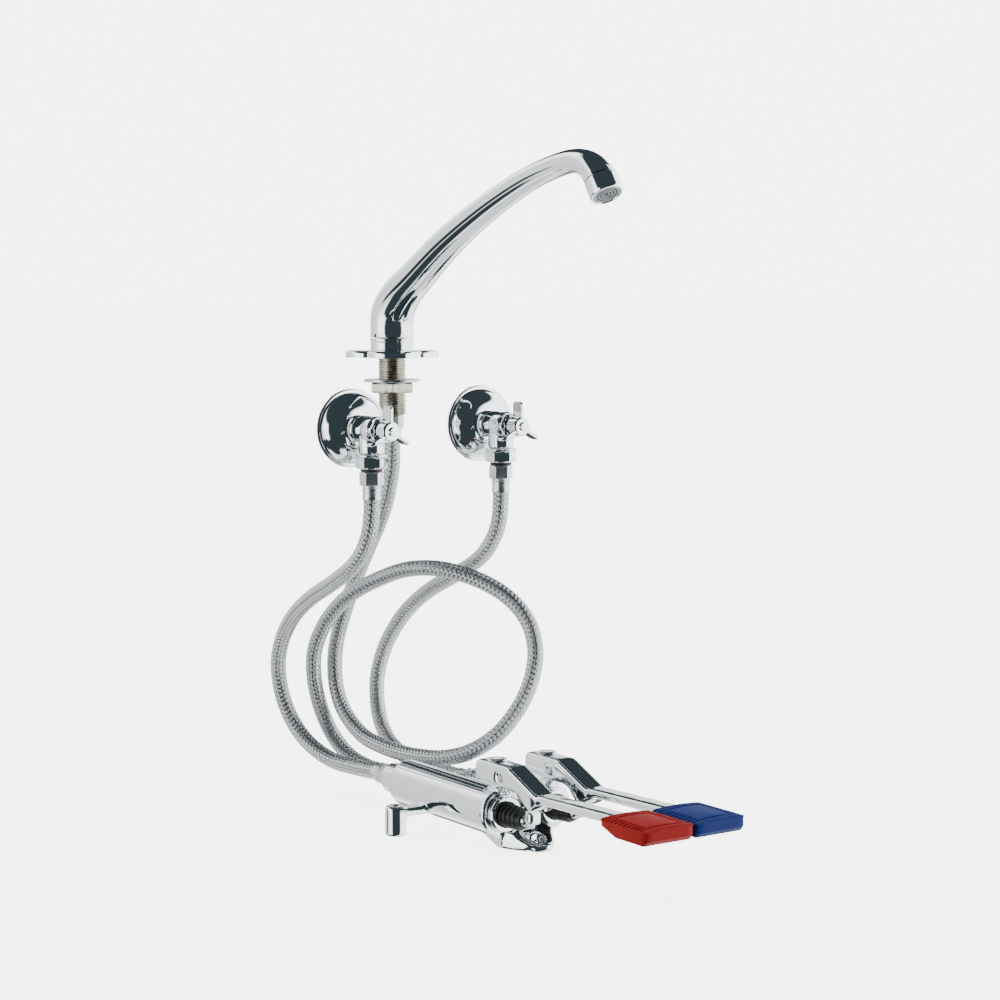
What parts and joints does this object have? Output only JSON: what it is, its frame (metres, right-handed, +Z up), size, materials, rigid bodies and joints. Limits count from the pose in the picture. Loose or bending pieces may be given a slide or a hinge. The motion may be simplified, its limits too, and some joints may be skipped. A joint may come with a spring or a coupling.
{
  "type": "foot pedal tap set",
  "caption": "Deck spout fed by braided hoses from wall stop valves through a floor mixing valve with a red and a blue foot pedal.",
  "frame": {"origin": "centre of the spout's foot on the deck, at the underside of its flange", "axes": "+X away from the wall to the user, +Y along the wall from hot to cold, +Z up"},
  "size_m": [0.4549, 0.166, 0.4671],
  "materials": {
    "chrome": "polished",
    "steel": "satin",
    "brass": "machined",
    "black_rubber": "matte",
    "braided_hose": "steel wire braid",
    "red_rubber": "matte",
    "blue_rubber": "matte",
    "grey_plastic": "matte"
  },
  "bodies": {
    "base": {"deck_flange": "chrome", "spout_collar": "chrome", "valve_body": "chrome", "hot_escutcheon": "chrome", "hot_stop_body": "chrome", "hot_stop_bonnet": "chrome", "hot_outlet_adapter": "chrome", "hot_gland": "chrome", "cold_escutcheon": "chrome", "cold_stop_body": "chrome", "cold_stop_bonnet": "chrome", "cold_outlet_adapter": "chrome", "cold_gland": "chrome", "hot_hose_nuts": "chrome", "cold_hose_nuts": "chrome", "spout_hose_nuts": "chrome", "spout_stem": "steel", "clamp_washer": "steel", "hot_return_spring": "steel", "hot_pivot_pin": "steel", "cold_return_spring": "steel", "cold_pivot_pin": "steel", "hot_hose_ferrules": "steel", "cold_hose_ferrules": "steel", "spout_hose_ferrules": "steel", "back_nut": "brass", "deck_gasket": "black_rubber", "stem_seals": "black_rubber", "hot_outlet_seal": "black_rubber", "hot_boot": "black_rubber", "cold_outlet_seal": "black_rubber", "cold_boot": "black_rubber", "hot_hose": "braided_hose", "cold_hose": "braided_hose", "spout_hose": "braided_hose"},
    "spout": {"spout": "chrome", "spout_screw": "steel", "aerator_shell": "chrome", "aerator_insert": "grey_plastic"},
    "hot_stop_jumper": {"hot_stop_jumper": "brass"},
    "hot_stop_handle": {"hot_stop_spindle": "brass", "hot_stop_handle": "chrome", "hot_handle_screw": "steel"},
    "hot_pedal": {"hot_pedal_arm": "chrome", "hot_arm_cap": "chrome", "hot_pedal_pad": "red_rubber"},
    "hot_plunger": {"hot_plunger": "steel", "hot_valve_disc": "black_rubber"},
    "cold_stop_jumper": {"cold_stop_jumper": "brass"},
    "cold_stop_handle": {"cold_stop_spindle": "brass", "cold_stop_handle": "chrome", "cold_handle_screw": "steel"},
    "cold_pedal": {"cold_pedal_arm": "chrome", "cold_arm_cap": "chrome", "cold_pedal_pad": "blue_rubber"},
    "cold_plunger": {"cold_plunger": "steel", "cold_valve_disc": "black_rubber"}
  },
  "joints": [
    {"name": "spout_swivel", "type": "hinge", "parent": "base", "child": "spout", "pos_m": [0, 0, 0.014], "axis": [0, 0, 1], "continuous": true},
    {"name": "hot_stop_lift", "type": "slide", "parent": "base", "child": "hot_stop_jumper", "axis": [1, 0, 0], "range_m": [0, 0.0025]},
    {"name": "hot_stop_turn", "type": "hinge", "parent": "hot_stop_jumper", "child": "hot_stop_handle", "pos_m": [0.075, -0.05, -0.049], "axis": [1, 0, 0], "range_deg": [0, 727]},
    {"name": "hot_pedal_tip", "type": "hinge", "parent": "base", "child": "hot_pedal", "pos_m": [0.18, -0.0205, -0.277], "axis": [0, 1, 0], "range_deg": [0, 10], "stiffness_Nm_per_rad": 2, "springref_deg": -22.92},
    {"name": "hot_plunger_slide", "type": "slide", "parent": "base", "child": "hot_plunger", "axis": [-1, 0, 0], "range_m": [0, 0.0044], "deforming": ["hot_return_spring", "hot_boot"]},
    {"name": "cold_stop_lift", "type": "slide", "parent": "base", "child": "cold_stop_jumper", "axis": [1, 0, 0], "range_m": [0, 0.0025]},
    {"name": "cold_stop_turn", "type": "hinge", "parent": "cold_stop_jumper", "child": "cold_stop_handle", "pos_m": [0.075, 0.06, -0.049], "axis": [1, 0, 0], "range_deg": [0, 727]},
    {"name": "cold_pedal_tip", "type": "hinge", "parent": "base", "child": "cold_pedal", "pos_m": [0.18, 0.0205, -0.277], "axis": [0, 1, 0], "range_deg": [0, 10], "stiffness_Nm_per_rad": 2, "springref_deg": -22.92},
    {"name": "cold_plunger_slide", "type": "slide", "parent": "base", "child": "cold_plunger", "axis": [-1, 0, 0], "range_m": [0, 0.0044], "deforming": ["cold_return_spring", "cold_boot"]}
  ],
  "couplings": [
    {"joint": "hot_stop_turn", "follows": "hot_stop_lift", "rad_per_m": 5026.5},
    {"joint": "hot_plunger_slide", "follows": "hot_pedal_tip", "m_per_rad": 0.02476},
    {"joint": "cold_stop_turn", "follows": "cold_stop_lift", "rad_per_m": 5026.5},
    {"joint": "cold_plunger_slide", "follows": "cold_pedal_tip", "m_per_rad": 0.02476}
  ]
}
